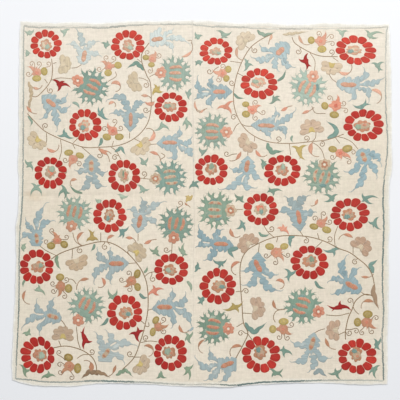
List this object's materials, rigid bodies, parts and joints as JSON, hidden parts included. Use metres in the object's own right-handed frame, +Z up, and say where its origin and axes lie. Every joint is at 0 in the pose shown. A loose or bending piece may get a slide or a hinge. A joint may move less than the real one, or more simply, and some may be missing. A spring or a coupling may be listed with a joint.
{
  "type": "embroidered wrapping cloth",
  "caption": "Flat, nearly square linen wrapping cloth of two seamed loom widths, hemmed all round, with silk floral scroll embroidery and a blue-green stitched border line.",
  "frame": {"origin": "middle of the cloth, on the surface it lies on", "axes": "+X to the right across both loom widths, +Y towards the top hem, +Z up out of the embroidered face"},
  "size_m": [1.0845, 1.0458, 0.0055],
  "materials": {
    "linen": "undyed plain-weave linen, cream, matt",
    "silk_red": "floss silk embroidery, red, soft sheen",
    "silk_green": "floss silk embroidery, grey-green, soft sheen",
    "silk_blue": "floss silk embroidery, light blue, soft sheen",
    "silk_peach": "floss silk embroidery, faded peach, soft sheen",
    "silk_beige": "floss silk embroidery, beige, soft sheen",
    "silk_ochre": "floss silk embroidery, ochre, soft sheen",
    "silk_brown": "floss silk line stitch, light brown, soft sheen",
    "border_thread": "blue-green line stitch beside the hem"
  },
  "bodies": {
    "root": {"panel_left": "linen", "panel_right": "linen"}
  },
  "joints": []
}
